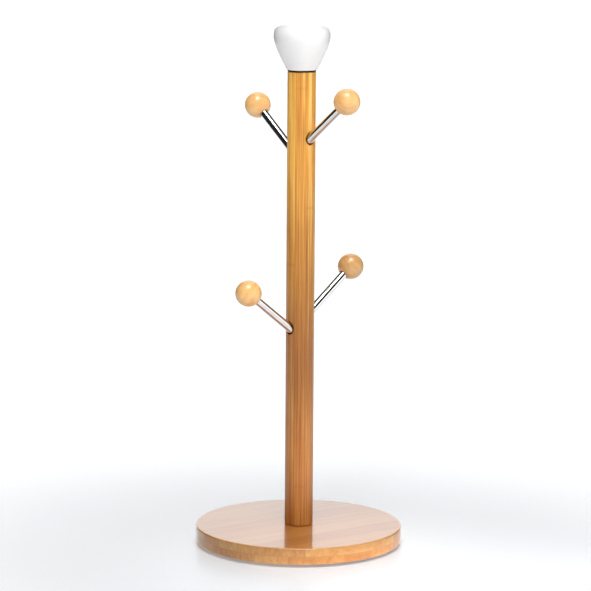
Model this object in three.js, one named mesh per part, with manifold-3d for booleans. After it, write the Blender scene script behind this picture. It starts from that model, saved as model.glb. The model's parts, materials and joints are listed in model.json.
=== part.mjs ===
// Mug tree: a round laminated bamboo base, a round bamboo post, four angled chrome arms with
// wooden balls on their ends, and a porcelain knob on top. Millimetres, +Z up, with the origin
// at the middle of the footprint, on the surface that the grip pads stand on.
//
// It comes apart by hand. Each arm's rod screws into an insert at the bottom of its own angled
// hole, the knob screws into the top of the post, and a bolt under the base pulls the post down
// on to it. Neighbours that touch on the real thing keep CONTACT_GAP between them here.

import * as THREE from 'three';
import { mergeVertices } from 'three/addons/utils/BufferGeometryUtils.js';
import Module from 'manifold-3d';

const wasm = await Module();
wasm.setup();

// Driving dimensions
const CONTACT_GAP = 0.3;

const BASE_DIAMETER = 150;
const BASE_THICKNESS = 12;
const BASE_BOTTOM = 2;
const BASE_EDGE_RADIUS = 1.2;
const COUNTERBORE_RADIUS = 10.5;
const COUNTERBORE_DEPTH = 6;
const BOLT_CLEARANCE_RADIUS = 3.5;

const PAD_RADIUS = 8;
const PAD_RECESS_DEPTH = 1;
const PAD_EDGE_RADIUS = 0.4;
const PAD_CIRCLE_RADIUS = 60;
const PAD_COUNT = 4;

const POST_RADIUS = 10.25;
const POST_LENGTH = 330.4;
const POST_EDGE_CHAMFER = 0.5;
const POST_END_BORE_RADIUS = 5.3;
const POST_END_BORE_DEPTH = 20;
const END_INSERT_LENGTH = 14;

const BOLT_RADIUS = 3;
const BOLT_LENGTH = 26;
const BOLT_POINT_CHAMFER = 0.8;
const BOLT_HEAD_RADIUS = 5.4;
const BOLT_HEAD_FACE_RADIUS = 3.6;
const BOLT_HEAD_HEIGHT = 3.1;
const BOLT_HEAD_RIM_HEIGHT = 0.6;
const BOLT_SOCKET_RADIUS = 2.31;
const BOLT_SOCKET_DEPTH = 2;
const WASHER_RADIUS = 8;
const WASHER_THICKNESS = 1.4;

const ARM_ELEVATION = THREE.MathUtils.degToRad(37.2);
const ARM_REACH = 61;
const ARM_BORE_RADIUS = 4;
const ARM_BORE_LENGTH = 26;
const ARM_INSERT_LENGTH = 7;
const ARM_STUD_RADIUS = 2;
const ARM_STUD_LENGTH = 15.4;
const ROD_RADIUS = 3;
const ROD_END_CHAMFER = 0.3;
const BALL_RADIUS = 9.5;
// Two opposite arms to a tier, the tiers a quarter turn apart. The arms of a tier differ in
// height, so that their holes pass each other inside the post.
const TIER_AZIMUTH = { upper: -49.1, lower: 40.9 };
const TIER_HEIGHT = { upper: 285, lower: 157.5 };
const ARM_STAGGER = 10;
const ARMS = [
    { name: 'upper_right', tier: 'upper', side: 1 },
    { name: 'upper_left', tier: 'upper', side: -1 },
    { name: 'lower_right', tier: 'lower', side: 1 },
    { name: 'lower_left', tier: 'lower', side: -1 },
];

const GASKET_THICKNESS = 0.8;
const FINIAL_STUD_RADIUS = 3;
const FINIAL_STUD_LENGTH = 26;
const KNOB_FOOT_RADIUS = 11.4;
const KNOB_FOOT_EDGE = 0.8;
const KNOB_WIDEST_RADIUS = 20.6;
const KNOB_WIDEST_HEIGHT = 24.6;
const KNOB_HEIGHT = 34.6;
// Where the handles of the knob's two curves lie: how far the flare leaves the foot outwards and
// upwards and how high it turns upright, how far the crown rises from the widest part, and how
// far out it levels off, the last as a part of the widest radius.
const KNOB_FLARE_OUT = 3.6;
const KNOB_FLARE_UP = 7;
const KNOB_UPRIGHT_HEIGHT = 17.7;
const KNOB_CROWN_RISE = 7.6;
const KNOB_CROWN_LEVEL = 0.74;

// Heights worked out from the driving dimensions
const BASE_TOP = BASE_BOTTOM + BASE_THICKNESS;
const POST_BOTTOM = BASE_TOP + CONTACT_GAP;
const POST_TOP = POST_BOTTOM + POST_LENGTH;
const GASKET_BOTTOM = POST_TOP + CONTACT_GAP;
const KNOB_BOTTOM = GASKET_BOTTOM + GASKET_THICKNESS + CONTACT_GAP;

// Facets around each round piece
const BASE_FACETS = 72;
const POST_FACETS = 48;
const KNOB_FACETS = 40;
const BALL_FACETS = 28;
const SMALL_FACETS = 20;

const BAMBOO = { color: 0xdca066, roughness: 0.35, metalness: 0 };
const POST_BAMBOO = { color: 0xc8823f, roughness: 0.4, metalness: 0 };
const BEECH = { color: 0xf2cd92, roughness: 0.5, metalness: 0 };
const CHROME = { color: 0xd9dadc, roughness: 0.06, metalness: 1 };
const STEEL = { color: 0xa3a6a9, roughness: 0.35, metalness: 1 };
const BRASS = { color: 0xc2a050, roughness: 0.35, metalness: 1 };
const PORCELAIN = { color: 0xf2f2f0, roughness: 0.1, metalness: 0 };
const BLACK_RUBBER = { color: 0x2a1c14, roughness: 0.85, metalness: 0 };
const PAD_RUBBER = { color: 0x35332f, roughness: 0.9, metalness: 0 };

// A closed body of revolution about Z. The outline's points are [radius, height], in order with
// the material on their left: both ends lie on the axis, or the first point is repeated last.
function turned(outline, facets) {
    const points = outline.map(([radius, height]) => new THREE.Vector2(radius, height));
    return new THREE.LatheGeometry(points, facets).rotateX(Math.PI / 2);
}

// Points on a circle about [radius, height], from one angle to another, in degrees.
function arc(centre, radius, from, to, steps) {
    return Array.from({ length: steps + 1 }, (_, i) => {
        const angle = THREE.MathUtils.degToRad(from + ((to - from) * i) / steps);
        return [centre[0] + radius * Math.cos(angle), centre[1] + radius * Math.sin(angle)];
    });
}

function tube(innerRadius, outerRadius, bottom, top, facets) {
    return turned([
        [innerRadius, bottom],
        [outerRadius, bottom],
        [outerRadius, top],
        [innerRadius, top],
        [innerRadius, bottom],
    ], facets);
}

// A plain round bar about Z, from one height to another.
function bar(radius, bottom, top, facets) {
    const height = top - bottom;
    return new THREE.CylinderGeometry(radius, radius, height, facets)
        .rotateX(Math.PI / 2)
        .translate(0, 0, bottom + height / 2);
}

function toManifold(geometry) {
    const bare = geometry.clone();
    bare.deleteAttribute('normal');
    bare.deleteAttribute('uv');
    const merged = mergeVertices(bare, 1e-4);
    return new wasm.Manifold(new wasm.Mesh({
        numProp: 3,
        vertProperties: new Float32Array(merged.attributes.position.array),
        triVerts: new Uint32Array(merged.index.array),
    }));
}

function cut(geometry, tools) {
    const body = tools.reduce((left, tool) => left.subtract(toManifold(tool)), toManifold(geometry));
    const mesh = body.getMesh();
    const result = new THREE.BufferGeometry();
    result.setAttribute('position', new THREE.BufferAttribute(mesh.vertProperties, 3));
    result.setIndex(new THREE.BufferAttribute(mesh.triVerts, 1));
    return result;
}

function node(name, geometry, finish) {
    const flat = geometry.index ? geometry.toNonIndexed() : geometry;
    flat.computeVertexNormals();
    const mesh = new THREE.Mesh(flat, new THREE.MeshStandardMaterial(finish));
    mesh.name = name;
    return mesh;
}

// Where the nth grip pad sits, from the middle of the base.
function padCentre(n) {
    const angle = (2 * Math.PI * (n + 0.5)) / PAD_COUNT;
    return new THREE.Vector3(PAD_CIRCLE_RADIUS * Math.cos(angle), PAD_CIRCLE_RADIUS * Math.sin(angle), 0);
}

// The disc, with its rounded lips, the counterbored bolt hole and a shallow recess for each pad.
function baseDisc() {
    const rim = BASE_DIAMETER / 2 - BASE_EDGE_RADIUS;
    const shelf = BASE_BOTTOM + COUNTERBORE_DEPTH;
    const disc = turned([
        [COUNTERBORE_RADIUS, BASE_BOTTOM],
        ...arc([rim, BASE_BOTTOM + BASE_EDGE_RADIUS], BASE_EDGE_RADIUS, -90, 0, 3),
        ...arc([rim, BASE_TOP - BASE_EDGE_RADIUS], BASE_EDGE_RADIUS, 0, 90, 3),
        [BOLT_CLEARANCE_RADIUS, BASE_TOP],
        [BOLT_CLEARANCE_RADIUS, shelf],
        [COUNTERBORE_RADIUS, shelf],
        [COUNTERBORE_RADIUS, BASE_BOTTOM],
    ], BASE_FACETS);
    const recess = bar(PAD_RADIUS + CONTACT_GAP, 0, BASE_BOTTOM + PAD_RECESS_DEPTH, SMALL_FACETS);
    const recesses = Array.from({ length: PAD_COUNT }, (_, n) => recess.clone().translate(...padCentre(n)));
    return node('base_disc', cut(disc, recesses), BAMBOO);
}

function gripPad(n) {
    const top = BASE_BOTTOM + PAD_RECESS_DEPTH - CONTACT_GAP;
    const shape = turned([
        [0, 0],
        ...arc([PAD_RADIUS - PAD_EDGE_RADIUS, PAD_EDGE_RADIUS], PAD_EDGE_RADIUS, -90, 0, 2),
        [PAD_RADIUS, top],
        [0, top],
    ], SMALL_FACETS);
    const pad = node(`grip_pad_${n + 1}`, shape, PAD_RUBBER);
    pad.position.copy(padCentre(n));
    return pad;
}

// A button-head bolt, head down, with a hexagon socket for its key.
function baseBolt() {
    const headTop = BASE_BOTTOM + COUNTERBORE_DEPTH - WASHER_THICKNESS - 2 * CONTACT_GAP;
    const headBottom = headTop - BOLT_HEAD_HEIGHT;
    const point = headTop + BOLT_LENGTH;
    const crown = arc([0, 0], 1, -90, 0, 4).map(([across, down]) => [
        BOLT_HEAD_FACE_RADIUS + across * (BOLT_HEAD_RADIUS - BOLT_HEAD_FACE_RADIUS),
        headTop - BOLT_HEAD_RIM_HEIGHT + down * (BOLT_HEAD_HEIGHT - BOLT_HEAD_RIM_HEIGHT),
    ]);
    const bolt = turned([
        [0, headBottom],
        ...crown,
        [BOLT_HEAD_RADIUS, headTop],
        [BOLT_RADIUS, headTop],
        [BOLT_RADIUS, point - BOLT_POINT_CHAMFER],
        [BOLT_RADIUS - BOLT_POINT_CHAMFER, point],
        [0, point],
    ], SMALL_FACETS);
    const socketTop = headBottom + BOLT_SOCKET_DEPTH;
    const socket = bar(BOLT_SOCKET_RADIUS, headBottom - BOLT_SOCKET_DEPTH, socketTop, 6);
    return node('base_bolt', cut(bolt, [socket]), STEEL);
}

function baseWasher() {
    const top = BASE_BOTTOM + COUNTERBORE_DEPTH - CONTACT_GAP;
    const shape = tube(BOLT_RADIUS + CONTACT_GAP, WASHER_RADIUS, top - WASHER_THICKNESS, top, SMALL_FACETS);
    return node('base_washer', shape, STEEL);
}

// A threaded insert for either end of the post, sunk CONTACT_GAP below the end's face.
function endInsert(name, bottom) {
    const inner = BOLT_RADIUS + CONTACT_GAP;
    const outer = POST_END_BORE_RADIUS - CONTACT_GAP;
    return node(name, tube(inner, outer, bottom, bottom + END_INSERT_LENGTH, SMALL_FACETS), BRASS);
}

// An arm's own frame: +Z runs outwards along the rod, from the post's axis.
function armFrame({ tier, side }) {
    const turn = side > 0 ? 0 : Math.PI;
    const frame = new THREE.Group();
    frame.position.z = TIER_HEIGHT[tier] + (side * ARM_STAGGER) / 2;
    frame.rotation.set(
        0,
        Math.PI / 2 - ARM_ELEVATION,
        THREE.MathUtils.degToRad(TIER_AZIMUTH[tier]) + turn,
        'ZYX',
    );
    frame.updateMatrix();
    return frame;
}

// The round post, bored at both ends, with a blind angled hole for each arm.
function post() {
    const inner = POST_END_BORE_RADIUS;
    const edge = POST_RADIUS - POST_EDGE_CHAMFER;
    const stick = turned([
        [0, POST_BOTTOM + POST_END_BORE_DEPTH],
        [inner, POST_BOTTOM + POST_END_BORE_DEPTH],
        [inner, POST_BOTTOM],
        [edge, POST_BOTTOM],
        [POST_RADIUS, POST_BOTTOM + POST_EDGE_CHAMFER],
        [POST_RADIUS, POST_TOP - POST_EDGE_CHAMFER],
        [edge, POST_TOP],
        [inner, POST_TOP],
        [inner, POST_TOP - POST_END_BORE_DEPTH],
        [0, POST_TOP - POST_END_BORE_DEPTH],
    ], POST_FACETS);
    const hole = bar(ARM_BORE_RADIUS, 0, ARM_BORE_LENGTH, SMALL_FACETS);
    const holes = ARMS.map((arm) => hole.clone().applyMatrix4(armFrame(arm).matrix));
    return node('post', cut(stick, holes), POST_BAMBOO);
}

// The insert stays in the post. The stud sits in it and in the rod's tapped end.
function armInsert(name) {
    const inner = ARM_STUD_RADIUS + CONTACT_GAP;
    const outer = ARM_BORE_RADIUS - CONTACT_GAP;
    const shape = tube(inner, outer, CONTACT_GAP, CONTACT_GAP + ARM_INSERT_LENGTH, SMALL_FACETS);
    return node(`${name}_arm_insert`, shape, BRASS);
}

function armStud(name) {
    const bottom = 2 * CONTACT_GAP;
    const stud = bar(ARM_STUD_RADIUS, bottom, bottom + ARM_STUD_LENGTH, SMALL_FACETS);
    return node(`${name}_arm_stud`, stud, STEEL);
}

function armRod(name) {
    const inner = ARM_STUD_RADIUS + CONTACT_GAP;
    const start = ARM_INSERT_LENGTH + 2 * CONTACT_GAP;
    const tapEnd = ARM_STUD_LENGTH + 3 * CONTACT_GAP;
    const shape = turned([
        [0, tapEnd],
        [inner, tapEnd],
        [inner, start],
        [ROD_RADIUS - ROD_END_CHAMFER, start],
        [ROD_RADIUS, start + ROD_END_CHAMFER],
        [ROD_RADIUS, ARM_REACH],
        [0, ARM_REACH],
    ], SMALL_FACETS);
    return node(`${name}_arm_rod`, shape, CHROME);
}

function armBall(name) {
    const bore = ROD_RADIUS + CONTACT_GAP;
    const boreAngle = THREE.MathUtils.radToDeg(Math.acos(bore / BALL_RADIUS));
    const shape = turned([
        [0, CONTACT_GAP],
        [bore, CONTACT_GAP],
        ...arc([0, 0], BALL_RADIUS, -boreAngle, 90, 12).slice(0, -1),
        [0, BALL_RADIUS],
    ], BALL_FACETS);
    const ball = node(`${name}_arm_ball`, shape, BEECH);
    ball.position.z = ARM_REACH;
    return ball;
}

function arm(placing) {
    const frame = armFrame(placing);
    frame.add(
        armInsert(placing.name),
        armStud(placing.name),
        armRod(placing.name),
        armBall(placing.name),
    );
    return frame;
}

function finialGasket() {
    const inner = FINIAL_STUD_RADIUS + 2 * CONTACT_GAP;
    const top = GASKET_BOTTOM + GASKET_THICKNESS;
    const ring = tube(inner, POST_RADIUS, GASKET_BOTTOM, top, POST_FACETS);
    return node('finial_gasket', ring, BLACK_RUBBER);
}

function finialStud() {
    const bottom = POST_TOP - END_INSERT_LENGTH;
    const top = bottom + FINIAL_STUD_LENGTH;
    return node('finial_stud', bar(FINIAL_STUD_RADIUS, bottom, top, SMALL_FACETS), STEEL);
}

// The knob flares from its foot like a bell turned upwards, rounds over its widest part and
// closes in a soft dome. A blind bore in its foot holds the stud.
function finialKnob() {
    const bore = FINIAL_STUD_RADIUS + CONTACT_GAP;
    const boreTop = POST_TOP - END_INSERT_LENGTH + FINIAL_STUD_LENGTH + CONTACT_GAP - KNOB_BOTTOM;
    const foot = new THREE.Vector2(KNOB_FOOT_RADIUS, KNOB_FOOT_EDGE);
    const widest = new THREE.Vector2(KNOB_WIDEST_RADIUS, KNOB_WIDEST_HEIGHT);
    const flare = new THREE.CubicBezierCurve(
        foot,
        new THREE.Vector2(KNOB_FOOT_RADIUS + KNOB_FLARE_OUT, KNOB_FOOT_EDGE + KNOB_FLARE_UP),
        new THREE.Vector2(KNOB_WIDEST_RADIUS, KNOB_UPRIGHT_HEIGHT),
        widest,
    );
    const crown = new THREE.CubicBezierCurve(
        widest,
        new THREE.Vector2(KNOB_WIDEST_RADIUS, KNOB_WIDEST_HEIGHT + KNOB_CROWN_RISE),
        new THREE.Vector2(KNOB_CROWN_LEVEL * KNOB_WIDEST_RADIUS, KNOB_HEIGHT),
        new THREE.Vector2(0, KNOB_HEIGHT),
    );
    const outside = [...flare.getPoints(9), ...crown.getPoints(10).slice(1)];
    const shape = turned([
        [0, boreTop],
        [bore, boreTop],
        [bore, 0],
        [KNOB_FOOT_RADIUS - KNOB_FOOT_EDGE, 0],
        ...outside.map(({ x, y }) => [x, y]),
    ], KNOB_FACETS);
    const knob = node('finial_knob', shape, PORCELAIN);
    knob.position.z = KNOB_BOTTOM;
    return knob;
}

const mugTree = new THREE.Group();
mugTree.add(
    baseDisc(),
    ...Array.from({ length: PAD_COUNT }, (_, n) => gripPad(n)),
    baseBolt(),
    baseWasher(),
    endInsert('foot_insert', POST_BOTTOM + CONTACT_GAP),
    post(),
    endInsert('post_top_insert', POST_TOP - CONTACT_GAP - END_INSERT_LENGTH),
    ...ARMS.map(arm),
    finialGasket(),
    finialStud(),
    finialKnob(),
);

export default mugTree;
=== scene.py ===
import json
import math

import bmesh
import bpy
from mathutils import Matrix, Vector


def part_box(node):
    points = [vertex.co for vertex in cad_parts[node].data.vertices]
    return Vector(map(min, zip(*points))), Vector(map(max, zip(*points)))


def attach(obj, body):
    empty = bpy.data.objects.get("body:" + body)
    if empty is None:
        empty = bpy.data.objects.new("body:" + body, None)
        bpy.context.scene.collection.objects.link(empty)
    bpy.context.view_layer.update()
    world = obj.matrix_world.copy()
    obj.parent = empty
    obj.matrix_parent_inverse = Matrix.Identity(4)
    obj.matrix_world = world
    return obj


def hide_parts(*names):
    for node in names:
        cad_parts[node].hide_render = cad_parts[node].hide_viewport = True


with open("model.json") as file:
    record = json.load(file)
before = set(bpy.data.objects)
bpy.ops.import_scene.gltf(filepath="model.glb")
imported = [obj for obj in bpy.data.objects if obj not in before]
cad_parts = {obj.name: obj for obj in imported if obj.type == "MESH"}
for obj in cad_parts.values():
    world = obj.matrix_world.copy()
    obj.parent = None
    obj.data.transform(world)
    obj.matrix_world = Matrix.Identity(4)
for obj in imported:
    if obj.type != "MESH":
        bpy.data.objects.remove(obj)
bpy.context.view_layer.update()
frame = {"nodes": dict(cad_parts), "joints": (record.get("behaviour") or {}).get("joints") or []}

MM = 0.001
TAU = 2 * math.pi
IDENTITY = Matrix.Identity(4)

# ---------------------------------------------------------------- places, from the frame

STAND = "stand"
ARMS = ("upper_right", "upper_left", "lower_right", "lower_left")
PADS = [name for name in sorted(frame["nodes"]) if name.startswith("grip_pad_")]
JOINTS = {joint["name"]: joint for joint in frame["joints"]}

# The gap that neighbours keep, and how close two measures count as the same.
GAP = 0.3 * MM
NEAR = 0.01 * MM

# Pitches of the threads, which the CAD model leaves plain.
M6_PITCH = 1.0 * MM
M4_PITCH = 0.7 * MM
WOOD_PITCH = 2.0 * MM


def arm_frame(arm):
    """The arm's own frame: the origin on the post's axis, +Z outwards along the rod."""
    turn = JOINTS[f"{arm}_arm_turn"]
    outwards = Vector(turn["axis"]).normalized()
    side = Vector((0, 0, 1)).cross(outwards).normalized()
    rows = Matrix((side.cross(outwards), side, outwards)).transposed()
    return Matrix.Translation(turn["pos_m"]) @ rows.to_4x4()


def corners(node, matrix=IDENTITY):
    """The corners of a round node, as (radius, height) about Z of the given frame."""
    inverse = matrix.inverted()
    places = (inverse @ v.co for v in frame["nodes"][node].data.vertices)
    return [(place.xy.length, place.z) for place in places]


def extent(node, matrix=IDENTITY):
    """A round node's inner and outer radius, and its lower and upper end."""
    radii, heights = zip(*corners(node, matrix))
    return min(radii), max(radii), min(heights), max(heights)


def inner_radius(node, height):
    return min(r for r, z in corners(node) if abs(z - height) < NEAR)


def other_end(node, radius, height):
    """Where a straight wall of this radius ends, if it starts at this height."""
    heights = [z for r, z in corners(node) if abs(r - radius) < NEAR and abs(z - height) > NEAR]
    return min(heights, key=lambda z: abs(z - height))


# ---------------------------------------------------------------- mesh building

# Edges that bend by more than this stay crisp.
SHARP_ANGLE = math.radians(40)

# Where the extra points beside a fillet stand: its reach from the corner, times this.
BESIDE_FILLET = 1.2

# A thread's profile, before it is held between 0 and 1, which leaves its crest and root flat.
FLANK_SLOPE = 1.4
CREST = 0.2

# The depth of the bolt's and the studs' threads, as a share of their pitch.
THREAD_DEPTH = 0.55


def shade(mesh):
    """Smooth shading, with the sharper edges kept crisp."""
    mesh.polygons.foreach_set("use_smooth", [True] * len(mesh.polygons))
    mesh.set_sharp_from_angle(angle=SHARP_ANGLE)
    mesh.update()


def link(mesh, name, matrix=IDENTITY):
    shade(mesh)
    piece = bpy.data.objects.new(name, mesh)
    bpy.context.scene.collection.objects.link(piece)
    piece.matrix_world = matrix
    return piece


def filleted(outline, closed=False, steps=6):
    """An outline through (radius, height, fillet) corners, each rounded by its own fillet. A
    point just beyond either end of a fillet keeps the shading of the walls beside it flat."""
    points = []
    last = len(outline) - 1
    for i, (r, z, fillet) in enumerate(outline):
        here = Vector((r, z))
        if not fillet or (i in (0, last) and not closed):
            points.append(here)
            continue
        back = (Vector(outline[i - 1][:2]) - here).normalized()
        on = (Vector(outline[(i + 1) % len(outline)][:2]) - here).normalized()
        half = back.angle(on) / 2
        reach = fillet / math.tan(half)
        centre = here + (back + on).normalized() * (fillet / math.sin(half))
        start, end = here + back * reach - centre, here + on * reach - centre
        swing = start.angle_signed(end)
        points.append(here + back * reach * BESIDE_FILLET)
        for k in range(steps + 1):
            spoke = start.copy()
            spoke.rotate(Matrix.Rotation(-swing * k / steps, 2))
            points.append(centre + spoke)
        points.append(here + on * reach * BESIDE_FILLET)
    return points


def ring_outline(node, edge, steps=6):
    """A flat ring's closed outline, with its four corners rounded alike."""
    bore, radius, low, high = extent(node)
    square = [(bore, low, edge), (radius, low, edge), (radius, high, edge), (bore, high, edge)]
    return filleted(square, closed=True, steps=steps)


def wall(radius, start, end, step):
    """Points along a straight wall, close enough together for a thread to be cut in it."""
    count = round(abs(end - start) / step)
    return [(radius, start + (end - start) * k / count) for k in range(count + 1)]


def threaded(radius, pitch, depth, low, high):
    """How far a helical thread cuts into a wall: inwards, or outwards if depth is negative."""

    def cut(r, z, angle):
        if abs(r - radius) > NEAR or not low < z < high:
            return r
        ridge = abs(2 * ((z / pitch - angle / TAU) % 1) - 1)
        fade = min(1, (z - low) / pitch, (high - z) / pitch)
        return r - depth * fade * min(1, max(0, FLANK_SLOPE * ridge - CREST))

    return cut


def turned(name, outline, segments, matrix=IDENTITY, closed=False, cuts=()):
    """A lathe piece about Z, through the outline's (radius, height) points."""
    bm = bmesh.new()
    rings = []
    for r, z in outline:
        if r < NEAR:
            rings.append([bm.verts.new((0, 0, z))] * segments)
            continue
        ring = []
        for k in range(segments):
            angle = TAU * k / segments
            radius = r
            for cut in cuts:
                radius = cut(radius, z, angle)
            ring.append(bm.verts.new((radius * math.cos(angle), radius * math.sin(angle), z)))
        rings.append(ring)
    if closed:
        rings.append(rings[0])
    for low, high in zip(rings, rings[1:]):
        for k in range(segments):
            after = (k + 1) % segments
            face = list(dict.fromkeys((low[k], low[after], high[after], high[k])))
            if len(face) > 2:
                bm.faces.new(face)
    bmesh.ops.recalc_face_normals(bm, faces=bm.faces)
    mesh = bpy.data.meshes.new(name)
    bm.to_mesh(mesh)
    bm.free()
    return link(mesh, name, matrix)


def cut_out(piece, tool):
    """Takes the tool's shape out of the piece, and removes the tool."""
    modifier = piece.modifiers.new("cut", "BOOLEAN")
    modifier.operation = "DIFFERENCE"
    modifier.solver = "EXACT"
    modifier.object = tool
    graph = bpy.context.evaluated_depsgraph_get()
    mesh = bpy.data.meshes.new_from_object(piece.evaluated_get(graph), depsgraph=graph)
    piece.modifiers.remove(modifier)
    shade(mesh)
    piece.data = mesh
    bpy.data.objects.remove(tool)


def show(piece, body, slot, material, *nodes):
    """Gives a finished piece its body and material, in place of the CAD nodes. The slot is not
    used.
    """
    piece.data.materials.clear()
    piece.data.materials.append(material)
    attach(piece, body)
    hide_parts(*nodes)


# ---------------------------------------------------------------- camera

# The place, the aim and the reach are in metres, the lens and the sensor in millimetres.
CAMERA_PLACE = Vector((0, -2.1, 0.5375))
CAMERA_AIM = Vector((-0.0034, 0, 0.1828))
CAMERA_LENS = 179.7
CAMERA_SENSOR = 36
CAMERA_REACH = 60
CAMERA_ROLL = math.radians(0.4)


def aimed(place, aim):
    """A matrix at a place, with its -Z towards the aim and its Y upwards."""
    turn = (Vector(aim) - Vector(place)).to_track_quat("-Z", "Y")
    return Matrix.Translation(place) @ turn.to_matrix().to_4x4()


def make_camera():
    data = bpy.data.cameras.new("camera")
    data.lens = CAMERA_LENS
    data.sensor_width = CAMERA_SENSOR
    data.clip_end = CAMERA_REACH
    camera = bpy.data.objects.new("camera", data)
    bpy.context.scene.collection.objects.link(camera)
    roll = Matrix.Rotation(CAMERA_ROLL, 4, "Z")
    camera.matrix_world = aimed(CAMERA_PLACE, CAMERA_AIM) @ roll
    bpy.context.scene.camera = camera


# ---------------------------------------------------------------- material building


def linear(colour):
    """A colour given as 0 to 255 display values, as linear light."""
    steps = (c / 255 for c in colour)
    return tuple(c / 12.92 if c <= 0.04045 else ((c + 0.055) / 1.055) ** 2.4 for c in steps)


class Nodes:
    """Builds one node tree with short calls."""

    def __init__(self, tree):
        self.tree = tree

    def add(self, kind, **settings):
        node = self.tree.nodes.new(kind)
        for key, value in settings.items():
            setattr(node, key, value)
        return node

    def plug(self, value, socket):
        if isinstance(value, bpy.types.NodeSocket):
            self.tree.links.new(value, socket)
        else:
            socket.default_value = value

    def place(self, turn=(0, 0, 0)):
        """Object coordinates in millimetres, turned."""
        node = self.add("ShaderNodeMapping", vector_type="POINT")
        self.plug(self.add("ShaderNodeTexCoord").outputs["Object"], node.inputs["Vector"])
        node.inputs["Rotation"].default_value = turn
        node.inputs["Scale"].default_value = (1 / MM, 1 / MM, 1 / MM)
        return node.outputs["Vector"]

    def stretched(self, vector, x, y, z):
        node = self.add("ShaderNodeMapping", vector_type="POINT")
        self.plug(vector, node.inputs["Vector"])
        node.inputs["Scale"].default_value = (x, y, z)
        return node.outputs["Vector"]

    def split(self, vector):
        node = self.add("ShaderNodeSeparateXYZ")
        self.plug(vector, node.inputs[0])
        return node.outputs["X"], node.outputs["Y"], node.outputs["Z"]

    def join(self, x, y, z):
        node = self.add("ShaderNodeCombineXYZ")
        for value, socket in zip((x, y, z), node.inputs):
            self.plug(value, socket)
        return node.outputs[0]

    def math(self, operation, a, b=0.0, c=0.0):
        node = self.add("ShaderNodeMath", operation=operation)
        for value, socket in zip((a, b, c), node.inputs):
            self.plug(value, socket)
        return node.outputs[0]

    def total(self, *terms):
        """The sum of (value, weight) terms."""
        result = 0.0
        for value, weight in terms:
            result = self.math("MULTIPLY_ADD", value, weight, result)
        return result

    def noise(self, vector, scale=1.0, detail=3.0, roughness=0.55):
        node = self.add("ShaderNodeTexNoise")
        self.plug(vector, node.inputs["Vector"])
        node.inputs["Scale"].default_value = scale
        node.inputs["Detail"].default_value = detail
        node.inputs["Roughness"].default_value = roughness
        return node.outputs["Fac"]

    def random(self, x, y, z):
        node = self.add("ShaderNodeTexWhiteNoise", noise_dimensions="3D")
        self.plug(self.join(x, y, z), node.inputs["Vector"])
        return node.outputs["Value"]

    def ramp(self, value, low, high, to_low=0.0, to_high=1.0, smooth=False):
        node = self.add("ShaderNodeMapRange")
        node.interpolation_type = "SMOOTHSTEP" if smooth else "LINEAR"
        for got, socket in zip((value, low, high, to_low, to_high), node.inputs):
            self.plug(got, socket)
        return node.outputs[0]

    def stops(self, value, *stops):
        """A ramp through (position, linear colour) stops."""
        node = self.add("ShaderNodeValToRGB")
        self.plug(value, node.inputs["Fac"])
        elements = node.color_ramp.elements
        elements.remove(elements[1])
        elements[0].position = stops[0][0]
        for position, colour in stops[1:]:
            elements.new(position)
        for element, (position, colour) in zip(elements, stops):
            element.color = (*colour, 1)
        return node.outputs["Color"]

    def mix(self, factor, a, b, blend="MIX"):
        node = self.add("ShaderNodeMix", data_type="RGBA", blend_type=blend)
        self.plug(factor, node.inputs[0])
        for value, socket in ((a, node.inputs[6]), (b, node.inputs[7])):
            self.plug((*linear(value), 1) if isinstance(value, tuple) else value, socket)
        return node.outputs[2]


class Finish(Nodes):
    """Builds one material's node tree."""

    def __init__(self, name):
        self.material = bpy.data.materials.new(name)
        self.material.use_nodes = True
        super().__init__(self.material.node_tree)
        self.shader = self.tree.nodes["Principled BSDF"]

    def bump(self, height, distance, strength):
        node = self.add("ShaderNodeBump")
        node.inputs["Strength"].default_value = strength
        node.inputs["Distance"].default_value = distance
        self.plug(height, node.inputs["Height"])
        self.plug(node.outputs["Normal"], self.shader.inputs["Normal"])

    def set(self, **sockets):
        """Sets or links sockets of the shader, named with underscores for spaces."""
        for key, value in sockets.items():
            self.plug(value, self.shader.inputs[key.replace("_", " ")])
        return self.material


# ---------------------------------------------------------------- materials

WHITE = (255, 255, 255)

# A noise texture's values lie mostly between these two.
NOISE_RANGE = (0.3, 0.7)

# Bamboo, in millimetres: between the cane's joints along a strip, a joint's dark band from its
# even middle to its faded edge, how far the band strays, the dark line beside a glued seam, and
# the size of the broad mottling along and across the strips.
KNUCKLE_EVERY = 290.0
KNUCKLE_BAND = (0.6, 2.4)
KNUCKLE_STRAY = 1.2
SEAM_WIDTH = 0.25
MOTTLE_LENGTH = 60.0
MOTTLE_WIDTH = 18.0

# How far apart the fibres' noise is read for neighbouring strips and for neighbouring layers.
STRIPS_APART = 40.0
LAYERS_APART = 5.0

# Bamboo, as shares: how dark the bands, seams and fibre bundles get, how far each layer's
# strips are shifted sideways, and how the streaks divide between fine and medium fibres.
KNUCKLE_DARKNESS = 0.2
SEAM_DARKNESS = 0.5
BUNDLE_DARKNESS = 0.28
LAYER_SHIFT = 0.37
FINE_SHARE = 0.4
MEDIUM_SHARE = 0.6


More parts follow.
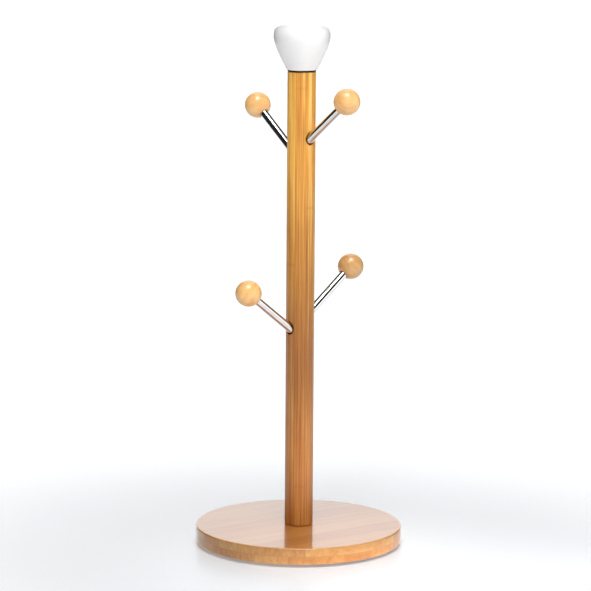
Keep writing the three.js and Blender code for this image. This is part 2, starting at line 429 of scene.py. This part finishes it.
def bamboo(
    name, turn, strip, ply, ply_base, flatness, tones, tone_spread, streak, coat_weight,
    coat_roughness, foot_shade=None, foot_shade_until=None,
):
    """Laminated bamboo. Strips run along the turned X axis. Each has its own tone, its own
    fibres and, far apart, the faint darker band of a joint in the cane. The foot shade is
    painted shade: it makes the wood darker and redder low down, and fades out between the two
    given heights, in millimetres."""
    n = Finish(name)
    along, across, through = n.split(n.place(turn))
    layer = n.math("FLOOR", n.math("DIVIDE", n.math("SUBTRACT", through, ply_base), ply))
    count = n.math("MULTIPLY_ADD", layer, LAYER_SHIFT, n.math("DIVIDE", across, strip))
    number = n.math("FLOOR", count)
    tone = n.random(number, layer, 0.0)
    drift = n.random(number, layer, 7.0)

    def fibres(fineness, length, detail):
        """Noise drawn out along the strip, with a place of its own for each strip and layer."""
        return n.noise(n.join(
            n.total((along, 1 / length), (drift, STRIPS_APART)),
            n.math("MULTIPLY", across, fineness),
            n.total((through, fineness * flatness), (layer, LAYERS_APART)),
        ), detail=detail, roughness=0.6)

    fine = fibres(fineness=1.2, length=70.0, detail=3)
    medium = fibres(fineness=0.56, length=110.0, detail=2)
    bundles = n.ramp(fibres(fineness=2.4, length=22.0, detail=1), 0.6, 0.7)
    mottle = n.noise(n.join(
        n.math("DIVIDE", along, MOTTLE_LENGTH),
        n.math("DIVIDE", across, MOTTLE_WIDTH),
        layer,
    ))
    paleness = n.total(
        (n.ramp(fine, *NOISE_RANGE), FINE_SHARE * streak),
        (n.ramp(medium, 0.33, 0.67), MEDIUM_SHARE * streak),
        (n.ramp(mottle, *NOISE_RANGE), 1 - streak - tone_spread),
        (tone, tone_spread),
    )
    dark, middle, light = tones
    colour = n.stops(
        paleness,
        (0.08, linear(dark)),
        (0.5, linear(middle)),
        (0.92, linear(light)),
    )
    colour = n.mix(n.math("MULTIPLY", bundles, BUNDLE_DARKNESS), colour, dark)

    cane = n.math("FRACT", n.total((along, 1 / KNUCKLE_EVERY), (drift, 1.0)))
    from_knuckle = n.math("ABSOLUTE", n.math("SUBTRACT", cane, 0.5))
    wavy = n.total((from_knuckle, KNUCKLE_EVERY), (fine, KNUCKLE_STRAY))
    band = n.ramp(wavy, *KNUCKLE_BAND, KNUCKLE_DARKNESS, 0.0, smooth=True)
    colour = n.mix(band, colour, dark)

    beside = n.math("ABSOLUTE", n.math("SUBTRACT", n.math("FRACT", count), 0.5))
    above = n.math("FRACT", n.math("DIVIDE", n.math("SUBTRACT", through, ply_base), ply))
    above = n.math("ABSOLUTE", n.math("SUBTRACT", above, 0.5))
    seam = n.math(
        "MAXIMUM",
        n.ramp(beside, 0.5 - SEAM_WIDTH / strip, 0.5, 0.0, SEAM_DARKNESS, smooth=True),
        n.ramp(above, 0.5 - SEAM_WIDTH / ply, 0.5, 0.0, SEAM_DARKNESS, smooth=True),
    )
    colour = n.mix(seam, colour, dark)

    # Painted shade: the wood is made darker and redder low down, fading out between the given
    # heights.
    if foot_shade:
        height = n.split(n.place())[2]
        painted_shade = n.mix(n.ramp(height, *foot_shade_until), foot_shade, WHITE)
        colour = n.mix(1.0, colour, painted_shade, "MULTIPLY")

    n.bump(fine, 0.05 * MM, 0.3)
    return n.set(
        Base_Color=colour,
        Roughness=n.ramp(fine, *NOISE_RANGE, 0.3, 0.4),
        Coat_Weight=coat_weight,
        Coat_Roughness=coat_roughness,
        Coat_IOR=1.5,
    )


def beech():
    """Pale beech: soft growth rings, small darker flecks and a thin satin lacquer."""
    n = Finish("beech")
    place = n.place((math.radians(64), math.radians(21), 0))
    y = n.split(place)[1]
    drift = n.noise(n.stretched(place, 0.12, 0.12, 0.03), detail=2)
    ring_rate, ring_wander = 1.5, 14.0
    rings = n.math("SINE", n.total((y, ring_rate), (drift, ring_wander)))
    grain = n.noise(n.stretched(place, 2.6, 2.6, 0.2), detail=3, roughness=0.6)
    cloud = n.noise(place, scale=0.09, detail=2)
    paleness = n.total(
        (n.ramp(rings, -1.0, 1.0), 0.16),
        (n.ramp(grain, *NOISE_RANGE), 0.44),
        (n.ramp(cloud, *NOISE_RANGE), 0.4),
    )
    colour = n.stops(
        paleness,
        (0.2, linear((214, 154, 88))),
        (0.5, linear((226, 172, 106))),
        (0.8, linear((234, 186, 122))),
    )
    fleck = n.noise(n.stretched(place, 1.6, 5.0, 0.5), detail=1)
    fleck_darkness = 0.35
    colour = n.mix(n.ramp(fleck, 0.66, 0.74, 0.0, fleck_darkness), colour, (206, 142, 82))
    n.bump(grain, 0.04 * MM, 0.25)
    return n.set(
        Base_Color=colour,
        Roughness=n.ramp(grain, *NOISE_RANGE, 0.4, 0.5),
        Coat_Weight=1.0,
        Coat_Roughness=0.2,
        Coat_IOR=1.65,
    )


def chrome():
    """Polished chrome plate, with the faint long scratches that hanging mugs leave."""
    n = Finish("chrome")
    place = n.place()
    scratches = n.noise(n.stretched(place, 6, 6, 0.35), detail=3, roughness=0.7)
    haze = n.noise(place, scale=0.12, detail=2)
    n.bump(scratches, 0.004 * MM, 0.2)
    return n.set(
        Base_Color=n.mix(n.ramp(haze, *NOISE_RANGE), (226, 226, 228), (236, 235, 234)),
        Metallic=1.0,
        Roughness=n.total((n.ramp(scratches, 0.45, 0.8), 0.06), (n.ramp(haze, 0.4, 0.7), 0.03)),
    )


def metal(name, dark, light, smoothest, roughest):
    """A plain or plated metal with a fine grain and a slightly uneven tone."""
    n = Finish(name)
    place = n.place()
    grain = n.noise(place, scale=3.0, detail=4, roughness=0.7)
    patches = n.noise(place, scale=0.25, detail=2)
    n.bump(grain, 0.01 * MM, 0.4)
    return n.set(
        Base_Color=n.mix(patches, dark, light),
        Metallic=1.0,
        Roughness=n.ramp(grain, *NOISE_RANGE, smoothest, roughest),
    )


def porcelain():
    """White glazed porcelain: a soft body under a clear glaze that is slightly uneven."""
    n = Finish("porcelain")
    place = n.place()
    cloud = n.noise(place, scale=0.06, detail=2)
    swell = n.noise(place, scale=0.11, detail=1)
    n.bump(swell, 0.2 * MM, 0.25)
    return n.set(
        Base_Color=n.mix(cloud, (221, 219, 219), (227, 226, 226)),
        Roughness=n.ramp(cloud, *NOISE_RANGE, 0.2, 0.26),
        Coat_Weight=1.0,
        Coat_Roughness=0.07,
        Coat_IOR=1.5,
    )


def rubber(name, dark, light, grain_scale):
    """Matt rubber with a fine grain."""
    n = Finish(name)
    grain = n.noise(n.place(), scale=grain_scale, detail=4, roughness=0.7)
    n.bump(grain, 0.06 * MM, 0.6)
    return n.set(
        Base_Color=n.mix(n.ramp(grain, 0.35, 0.65), dark, light),
        Roughness=n.ramp(grain, *NOISE_RANGE, 0.75, 0.92),
    )


BASE_BAMBOO = bamboo(
    "base_bamboo",
    turn=(0, 0, math.radians(-35)),
    strip=19.0,
    ply=6.0,
    ply_base=2.0,
    flatness=0.25,
    tones=((174, 102, 42), (207, 144, 74), (224, 175, 106)),
    tone_spread=0.42,
    streak=0.42,
    coat_weight=1.0,
    coat_roughness=0.07,
)
POST_BAMBOO = bamboo(
    "post_bamboo",
    turn=(0, math.radians(90), 0),
    strip=5.4,
    ply=7.3,
    ply_base=-11.0,
    flatness=1.0,
    tones=((164, 90, 30), (219, 158, 68), (244, 205, 112)),
    tone_spread=0.09,
    streak=0.78,
    coat_weight=0.3,
    coat_roughness=0.4,
    # Painted shade on the post's lower part, darker and redder towards the foot.
    foot_shade=(233, 208, 212),
    foot_shade_until=(150, 280),
)
BEECH = beech()
CHROME = chrome()
STEEL = metal(
    "zinc_steel", dark=(150, 152, 156), light=(186, 188, 190), smoothest=0.28, roughest=0.4
)
BRASS = metal("brass", dark=(176, 138, 66), light=(206, 172, 96), smoothest=0.26, roughest=0.4)
PORCELAIN = porcelain()
GASKET_RUBBER = rubber("gasket_rubber", dark=(34, 20, 12), light=(48, 30, 19), grain_scale=2.0)
PAD_RUBBER = rubber("pad_rubber", dark=(46, 44, 41), light=(64, 61, 56), grain_scale=1.2)

# ---------------------------------------------------------------- base


def make_base():
    """The round base, with a recess for each pad and the bolt's hole and counterbore."""
    bolt_hole, rim, low, high = extent("base_disc")
    counterbore = inner_radius("base_disc", low)
    shelf = other_end("base_disc", counterbore, low)
    lip = 1.2 * MM
    edge = 0.35 * MM
    outline = filleted([
        (counterbore, low, edge),
        (rim, low, lip),
        (rim, high, lip),
        (bolt_hole, high, edge),
        (bolt_hole, shelf, edge),
        (counterbore, shelf, edge),
    ], closed=True)
    base = turned("base", outline, segments=192, closed=True)
    for name in PADS:
        pad_low, pad_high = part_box(name)
        middle = (pad_low + pad_high) / 2
        radius = pad_high.x - middle.x + GAP
        recess = filleted([
            (0, -radius, 0),
            (radius, -radius, 0),
            (radius, pad_high.z + GAP, edge),
            (0, pad_high.z + GAP, 0),
        ])
        place = Matrix.Translation((middle.x, middle.y, 0))
        cut_out(base, turned("recess", recess, segments=64, matrix=place))
    show(base, STAND, "bamboo_base", BASE_BAMBOO, "base_disc")


def make_pads():
    """Soft feet with two shallow grip grooves in the face that they stand on."""
    groove = 0.5 * MM
    grooves_at = (0.3, 0.6)
    groove_edge = 0.1 * MM
    lower_edge = 0.4 * MM
    upper_edge = 0.3 * MM
    for name in PADS:
        low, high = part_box(name)
        middle = (low + high) / 2
        radius = high.x - middle.x
        outline = [(0, 0, 0)]
        for part in grooves_at:
            outline += [
                (part * radius - groove, 0, groove_edge),
                (part * radius, groove, groove_edge),
                (part * radius + groove, 0, groove_edge),
            ]
        outline += [
            (radius, 0, lower_edge),
            (radius, high.z, upper_edge),
            (0, high.z, 0),
        ]
        place = Matrix.Translation((middle.x, middle.y, low.z))
        pad = turned(name.replace("grip_pad", "pad"), filleted(outline), segments=64, matrix=place)
        show(pad, STAND, "pad_rubber", PAD_RUBBER, name)


def make_bolt():
    """The button-head bolt under the base, with its hexagon socket and thread, and its washer."""
    shank = extent("foot_insert")[0] - GAP
    head_radius, low, high = extent("base_bolt")[1:]
    head_top = min(z for r, z in corners("base_bolt") if abs(r - shank) < NEAR)
    rim = head_top - 0.6 * MM
    face = 3.6 * MM
    crown_steps = 10
    crown = [
        (face + (head_radius - face) * math.sin(a), rim - (rim - low) * math.cos(a))
        for a in (k * math.pi / (2 * crown_steps) for k in range(crown_steps + 1))
    ]
    plain_shank = 3 * MM
    point = 0.8 * MM
    outline = [
        (0, low),
        *crown,
        (head_radius, head_top),
        *wall(shank, head_top, high - point, step=M6_PITCH / 8),
        (shank - point, high),
        (0, high),
    ]
    thread = threaded(
        shank,
        M6_PITCH,
        THREAD_DEPTH * M6_PITCH,
        low=head_top + plain_shank,
        high=high - point / 4,
    )
    bolt = turned("bolt", outline, segments=40, cuts=[thread])

    # The socket takes a 4 mm key, measured here from its middle to a corner, and ends in a tip.
    corner = 2.31 * MM
    depth = 2 * MM
    tip = 1.3 * depth
    key = [(0, low - depth), (corner, low - depth), (corner, low + depth), (0, low + tip)]
    cut_out(bolt, turned("key", key, segments=6))
    show(bolt, STAND, "steel", STEEL, "base_bolt")

    outline = ring_outline("base_washer", edge=0.3 * MM)
    washer = turned("washer", outline, segments=64, closed=True)
    show(washer, STAND, "steel", STEEL, "base_washer")


def make_insert(node, name, pitch, matrix=IDENTITY):
    """A brass insert, with a machine thread inside and a coarse wood thread outside."""
    bore, radius, low, high = extent(node, matrix)
    edge = 0.25 * MM
    machine_depth = 0.3 * MM
    wood_depth = 0.5 * MM
    inner = wall(bore, high - edge, low + edge, step=pitch / 6)
    outer = wall(radius, low + edge, high - edge, step=WOOD_PITCH / 10)
    outline = [
        (bore + edge, high),
        *inner,
        (bore + edge, low),
        (radius - edge, low),
        *outer,
        (radius - edge, high),
    ]
    cuts = [
        threaded(bore, pitch, -machine_depth, low, high),
        threaded(radius, WOOD_PITCH, wood_depth, low, high),
    ]
    insert = turned(name, outline, segments=40, matrix=matrix, closed=True, cuts=cuts)
    show(insert, STAND, "brass", BRASS, node)


def make_stud(node, name, body, pitch, matrix=IDENTITY):
    """A steel stud, threaded all along, with a small chamfer at each end."""
    radius, low, high = extent(node, matrix)[1:]
    point = 0.5 * MM
    outline = [
        (0, low),
        (radius - point, low),
        *wall(radius, low + point, high - point, step=pitch / 8),
        (radius - point, high),
        (0, high),
    ]
    thread = threaded(radius, pitch, THREAD_DEPTH * pitch, low, high)
    stud = turned(name, outline, segments=36, matrix=matrix, cuts=[thread])
    show(stud, body, "steel", STEEL, node)


# ---------------------------------------------------------------- post


def make_post():
    """The post, with a bore at either end and a slanting hole for each arm."""
    radius, low, high = extent("post")[1:]
    bore = inner_radius("post", low)
    lower_end = other_end("post", bore, low)
    upper_end = other_end("post", bore, high)
    edge = 0.5 * MM
    outline = filleted([
        (0, lower_end, 0),
        (bore, lower_end, edge),
        (bore, low, edge),
        (radius, low, edge),
        (radius, high, edge),
        (bore, high, edge),
        (bore, upper_end, edge),
        (0, upper_end, 0),
    ])
    post = turned("post_stick", outline, segments=128)
    for arm in ARMS:
        matrix = arm_frame(arm)
        hole = extent(f"{arm}_arm_insert", matrix)[1] + GAP
        outside = 2.6 * radius
        drill = [(0, 0), (hole, 0), (hole, outside), (0, outside)]
        cut_out(post, turned("hole", drill, segments=64, matrix=matrix))
    show(post, STAND, "bamboo_post", POST_BAMBOO, "post")


# ---------------------------------------------------------------- arms


def make_arm(arm):
    """One arm: its insert in the post, its stud, its rod and the ball on the rod's end."""
    matrix = arm_frame(arm)
    make_insert(f"{arm}_arm_insert", f"{arm}_socket", M4_PITCH, matrix)
    make_stud(f"{arm}_arm_stud", f"{arm}_thread", f"{arm}_stud", M4_PITCH, matrix)

    radius, start, end = extent(f"{arm}_arm_rod", matrix)[1:]
    stud_radius, _, stud_end = extent(f"{arm}_arm_stud", matrix)[1:]
    tap = stud_radius + GAP
    edge = 0.3 * MM
    outline = filleted([
        (0, stud_end + GAP, 0),
        (tap, stud_end + GAP, 0),
        (tap, start, edge),
        (radius, start, edge),
        (radius, end, edge),
        (0, end, 0),
    ])
    rod = turned(f"{arm}_rod", outline, segments=96, matrix=matrix)
    show(rod, f"{arm}_arm", "chrome", CHROME, f"{arm}_arm_rod")

    size, _, top = extent(f"{arm}_arm_ball", matrix)[1:]
    middle = top - size
    bore = radius + GAP
    mouth = math.acos(bore / size)
    steps = 48
    angles = [-mouth + (mouth + math.pi / 2) * k / steps for k in range(steps)]
    outline = [
        (0, GAP),
        (bore, GAP),
        (bore, -size * math.sin(mouth) + edge),
        (bore + edge / 2, -size * math.sin(mouth)),
        *((size * math.cos(a), size * math.sin(a)) for a in angles[1:]),
        (0, size),
    ]
    place = matrix @ Matrix.Translation((0, 0, middle))
    ball = turned(f"{arm}_ball", outline, segments=96, matrix=place)
    show(ball, f"{arm}_arm", "beech", BEECH, f"{arm}_arm_ball")


# ---------------------------------------------------------------- finial


def bezier(a, b, c, d, steps):
    """Points on a cubic curve, without the first."""
    for k in range(1, steps + 1):
        t = k / steps
        weights = ((1 - t) ** 3, 3 * t * (1 - t) ** 2, 3 * t * t * (1 - t), t**3)
        yield tuple(sum(w * p[i] for w, p in zip(weights, (a, b, c, d))) for i in (0, 1))


def make_knob():
    """The knob, whose flare and crown follow the same curves as the CAD model's facets."""
    low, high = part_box("finial_knob")
    widest = high.x
    top = high.z - low.z
    foot = 11.4 * MM
    edge = 0.8 * MM
    waist = 24.6 * MM
    bore = extent("finial_stud")[1] + GAP
    depth = extent("finial_stud")[3] + GAP - low.z
    inside = filleted([(bore, depth, 0), (bore, 0, edge / 2), (foot - edge, 0, 0)])
    foot_edge = bezier(
        (foot - edge, 0),
        (foot - edge / 2, 0),
        (foot - edge / 6, edge / 2),
        (foot, edge),
        steps=8,
    )
    flare = bezier(
        (foot, edge),
        (foot + 3.6 * MM, edge + 7 * MM),
        (widest, 17.7 * MM),
        (widest, waist),
        steps=40,
    )
    crown = bezier(
        (widest, waist),
        (widest, waist + 7.6 * MM),
        (0.74 * widest, top),
        (0, top),
        steps=48,
    )
    outline = [(0, depth), *inside, *foot_edge, *flare, *crown]
    place = Matrix.Translation((0, 0, low.z))
    knob = turned("knob", outline, segments=160, matrix=place)
    show(knob, "finial", "porcelain", PORCELAIN, "finial_knob")


def make_gasket():
    """The thin dark ring between the post and the knob."""
    outline = ring_outline("finial_gasket", edge=0.25 * MM, steps=4)
    gasket = turned("gasket", outline, segments=96, closed=True)
    show(gasket, "finial", "gasket_rubber", GASKET_RUBBER, "finial_gasket")


# ---------------------------------------------------------------- studio

# How bright the room is round about, near eye level and higher up, as (place, brightness)
# stops: 0 and 1 are the camera's side, 0.25 the left, 0.5 the backdrop and 0.75 the right.
EYE_LEVEL = (
    (0.0, 0.15), (0.03, 0.1), (0.05, 0.02), (0.42, 0.02), (0.44, 1.3),
    (0.56, 1.3), (0.58, 0.02), (0.72, 0.02), (0.74, 1.4), (0.81, 1.4),
    (0.83, 0.02), (0.91, 0.02), (0.93, 0.4), (0.98, 0.4), (1.0, 0.15),
)
HIGHER_UP = ((0.0, 0.02), (0.42, 0.02), (0.44, 1.1), (0.56, 1.1), (0.58, 0.02), (1.0, 0.02))

# Where eye level turns into higher up, and where the ceiling starts, as the height of a
# direction one metre long.
HIGHER_UP_FROM = (0.28, 0.34)
CEILING_FROM = (0.8, 0.88)
CEILING_BRIGHTNESS = 0.12

SOFT_BOX_ELEVATION = math.radians(70)
SOFT_BOX_CORE = math.radians(11)
SOFT_BOX_EDGE = math.radians(20)
SOFT_BOX_BRIGHTNESS = 7.8

# What the camera sees beyond the floor, whichever way it looks.
SEEN_BRIGHTNESS = 0.88


def make_floor():
    """A pale table top that glows further out, so that the camera sees it merge into the
    backdrop. The distances are in metres from the object's middle."""
    half_width, front, back = 0.9, -1.5, 6.0
    glow_from, glow_until = 0.13, 0.4
    near_glow, far_glow = 0.25, 0.46
    bm = bmesh.new()
    bm.faces.new([bm.verts.new(place) for place in (
        (-half_width, front, 0),
        (half_width, front, 0),
        (half_width, back, 0),
        (-half_width, back, 0),
    )])
    mesh = bpy.data.meshes.new("floor")
    bm.to_mesh(mesh)
    bm.free()
    floor = bpy.data.objects.new("floor", mesh)
    bpy.context.scene.collection.objects.link(floor)
    n = Finish("floor")
    away = n.add("ShaderNodeVectorMath", operation="LENGTH")
    n.plug(n.add("ShaderNodeTexCoord").outputs["Object"], away.inputs[0])
    glow = n.ramp(away.outputs["Value"], glow_from, glow_until, near_glow, far_glow, smooth=True)
    floor.data.materials.append(n.set(
        Base_Color=(*linear((200, 204, 209)), 1),
        Roughness=0.35,
        Emission_Color=(1, 1, 1, 1),
        Emission_Strength=glow,
    ))


def make_world():
    """A dark room with a bright backdrop, a bright wall to the right, a dimmer strip to the
    right of the camera, a grey ceiling and a round soft box high up in front. They light the
    object and show in its reflections, while the camera itself sees one even tone."""
    world = bpy.data.worlds.new("studio")
    bpy.context.scene.world = world
    world.use_nodes = True
    n = Nodes(world.node_tree)
    direction = n.add("ShaderNodeTexCoord").outputs["Generated"]
    x, y, z = n.split(direction)
    round_about = n.total((n.math("ARCTAN2", x, y), 1 / TAU), (0.5, 1.0))
    low, high = (
        n.stops(round_about, *((position, (level,) * 3) for position, level in ring))
        for ring in (EYE_LEVEL, HIGHER_UP)
    )
    walls = n.mix(n.ramp(z, *HIGHER_UP_FROM), low, high)
    ceiling = n.ramp(z, *CEILING_FROM, 0.0, CEILING_BRIGHTNESS, smooth=True)

    beside = n.add("ShaderNodeVectorMath", operation="DOT_PRODUCT")
    n.plug(direction, beside.inputs[0])
    beside.inputs[1].default_value = (
        0,
        -math.cos(SOFT_BOX_ELEVATION),
        math.sin(SOFT_BOX_ELEVATION),
    )
    off_centre = n.math("ARCCOSINE", beside.outputs["Value"])
    soft_box = n.ramp(
        off_centre, SOFT_BOX_CORE, SOFT_BOX_EDGE, SOFT_BOX_BRIGHTNESS, 0.0, smooth=True
    )

    around = n.total((walls, 1.0), (ceiling, 1.0), (soft_box, 1.0))
    seen = n.add("ShaderNodeLightPath").outputs["Is Camera Ray"]
    background = n.tree.nodes["Background"]
    n.plug(n.ramp(seen, 0.0, 1.0, around, SEEN_BRIGHTNESS), background.inputs["Strength"])
    background.inputs["Color"].default_value = (1, 1, 1, 1)


def beam(name, place, aim, size, watts, spread):
    """A soft spot light that leaves no glint, for it stands for light off the room's walls.
    The place, aim and size are in metres, and the spread in degrees."""
    data = bpy.data.lights.new(name, "AREA")
    data.shape = "ELLIPSE"
    data.size, data.size_y = size
    data.spread = math.radians(spread)
    data.energy = watts
    light = bpy.data.objects.new(name, data)
    bpy.context.scene.collection.objects.link(light)
    light.matrix_world = aimed(place, aim)
    light.visible_camera = False
    light.visible_glossy = False


def make_lights():
    """Light for the knob, the lower left ball, the floor in front, the post's foot and the
    base's rim."""
    beam("over_top", (-0.1, -0.5, 0.8), (0, 0, 0.36), (0.3, 0.3), 0.06, 24)
    beam("front_top", (0.1, -0.8, 0.55), (0, 0, 0.34), (0.25, 0.25), 0.083, 17)
    beam("right_top", (0.6, -0.35, 0.6), (0, 0, 0.33), (0.25, 0.25), 0.062, 26)
    beam("left_top", (-0.6, -0.35, 0.6), (-0.03, 0, 0.34), (0.25, 0.25), 0.034, 26)
    beam("behind_top", (0, 0.8, 0.5), (0, 0, 0.345), (0.25, 0.25), 0.06, 17)
    beam("left_ball", (0.2, -0.8, 0.4), (-0.046, -0.032, 0.192), (0.04, 0.04), 0.005, 5)
    beam("front_floor", (0.15, -0.42, 0.85), (0.07, -0.14, 0), (0.2, 0.2), 0.09, 20)
    beam("low_post", (0.2, -0.57, 0.065), (0, 0, 0.065), (0.08, 0.08), 0.0065, 8)
    beam("base_rim", (0.45, -0.42, 0.03), (0.03, -0.05, -0.012), (0.3, 0.02), 0.046, 6)


def make_studio():
    """Everything around the object, and a plain view transform."""
    make_floor()
    make_world()
    make_lights()
    view = bpy.context.scene.view_settings
    view.view_transform = "Standard"
    view.look = "None"
    view.exposure = 0
    view.gamma = 1


make_camera()
make_base()
make_pads()
make_bolt()
make_insert("foot_insert", "foot_socket", M6_PITCH)
make_post()
make_insert("post_top_insert", "top_socket", M6_PITCH)
for arm in ARMS:
    make_arm(arm)
make_gasket()
make_stud("finial_stud", "knob_thread", "finial_stud", M6_PITCH)
make_knob()
make_studio()
